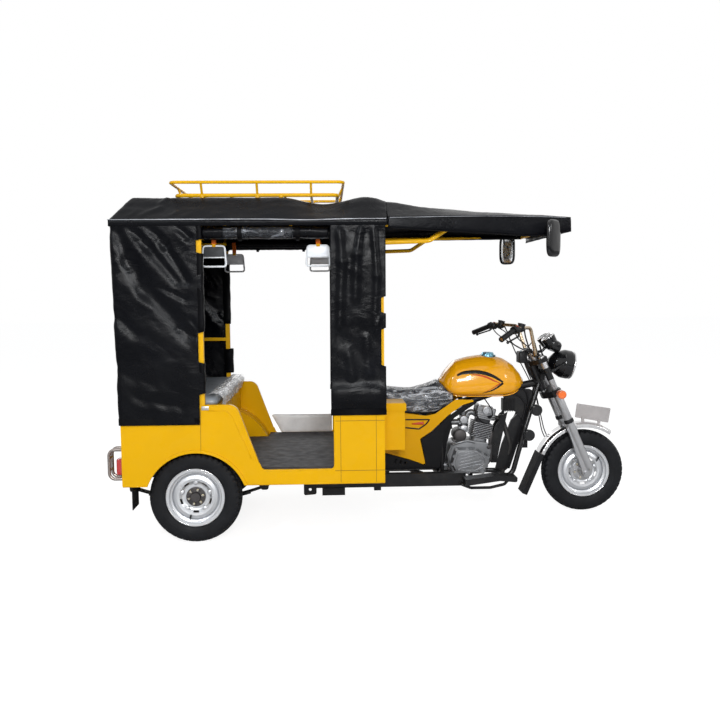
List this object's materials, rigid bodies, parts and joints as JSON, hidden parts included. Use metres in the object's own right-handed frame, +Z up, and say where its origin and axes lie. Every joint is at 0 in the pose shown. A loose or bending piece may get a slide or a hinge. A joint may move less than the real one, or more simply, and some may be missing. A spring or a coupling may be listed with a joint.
{
  "type": "auto rickshaw",
  "caption": "three-wheeled passenger motorcycle with a steel tub, bench and soft roof behind an open motorcycle front",
  "frame": {"origin": "on the ground at the middle of the length and width", "axes": "+X forward, +Y to the vehicle's left, +Z up"},
  "size_m": [3.174, 1.266, 2.069],
  "materials": {
    "frame_paint": "satin black paint",
    "body_yellow": "glossy yellow paint",
    "steel": "bare or plated steel",
    "rim_silver": "silver paint",
    "alloy": "cast aluminium",
    "chrome_trim": "bright chrome",
    "iron": "dark cast iron",
    "tyre_black": "black tyre rubber",
    "rubber_black": "black rubber",
    "plastic_black": "black moulded plastic",
    "plastic_gloss": "glossy black plastic",
    "lamp_orange": "orange lens",
    "lamp_red": "red lens",
    "canopy_black": "black coated canvas",
    "vinyl_black": "black vinyl under clear film",
    "vinyl_grey": "blue-grey vinyl",
    "board_white": "white padded cover",
    "plate_blank": "bare aluminium plate"
  },
  "bodies": {
    "chassis": {"bench_box": "body_yellow", "bench_cushion": "vinyl_grey", "bike_frame": "frame_paint", "canopy_top": "canopy_black", "carburettor": "alloy", "chassis_frame": "frame_paint", "doorway_board": "board_white", "engine_case": "alloy", "engine_cylinder": "iron", "engine_head": "alloy", "exhaust": "steel", "floor_mat": "rubber_black", "floor_pan": "body_yellow", "foot_steps": "frame_paint", "front_curtains": "canopy_black", "front_panel": "body_yellow", "fuel_tank": "body_yellow", "grab_handles": "plastic_black", "horns": "frame_paint", "leaf_springs": "frame_paint", "lower_covers": "plastic_gloss", "mirrors": "plastic_black", "rear_axle": "frame_paint", "rear_curtain": "canopy_black", "rear_flaps": "rubber_black", "rear_guards": "frame_paint", "rear_panel": "body_yellow", "roof_frame": "body_yellow", "roof_rack": "body_yellow", "saddle": "vinyl_black", "side_covers": "body_yellow", "side_panel_left": "body_yellow", "side_panel_right": "body_yellow", "tail_lamps": "lamp_red", "tool_box": "body_yellow", "visor": "canopy_black", "window_rolls": "canopy_black"},
    "tool_box_lid": {"tool_box_lid": "body_yellow"},
    "steering": {"fork": "rim_silver", "handlebar": "chrome_trim", "hand_controls": "plastic_black", "headlamp": "plastic_gloss", "instrument_pod": "plastic_gloss", "turn_signals": "lamp_orange", "front_mudguard": "chrome_trim", "number_plate": "plate_blank", "front_flap": "rubber_black", "control_cables": "rubber_black"},
    "front_wheel": {"front_tyre": "tyre_black", "front_rim": "rim_silver", "front_hub": "rim_silver"},
    "rear_wheel_right": {"rear_right_tyre": "tyre_black", "rear_right_rim": "rim_silver", "rear_right_hub": "iron"},
    "rear_wheel_left": {"rear_left_tyre": "tyre_black", "rear_left_rim": "rim_silver", "rear_left_hub": "iron"}
  },
  "joints": [
    {"name": "steering_turn", "type": "hinge", "parent": "chassis", "child": "steering", "pos_m": [1.05503, 0, 0.80437], "axis": [-0.4067, 0, 0.9135], "range_deg": [-36, 36]},
    {"name": "front_wheel_spin", "type": "hinge", "parent": "steering", "child": "front_wheel", "pos_m": [1.321, 0, 0.266], "axis": [0, 1, 0], "continuous": true},
    {"name": "rear_wheel_right_spin", "type": "hinge", "parent": "chassis", "child": "rear_wheel_right", "pos_m": [-1.099, -0.518, 0.266], "axis": [0, 1, 0], "continuous": true},
    {"name": "rear_wheel_left_spin", "type": "hinge", "parent": "chassis", "child": "rear_wheel_left", "pos_m": [-1.099, 0.518, 0.266], "axis": [0, 1, 0], "continuous": true},
    {"name": "lid_hinge", "type": "hinge", "parent": "chassis", "child": "tool_box_lid", "pos_m": [-0.001, -0.315, 0.775], "axis": [0, -1, 0], "range_deg": [0, 85]}
  ]
}
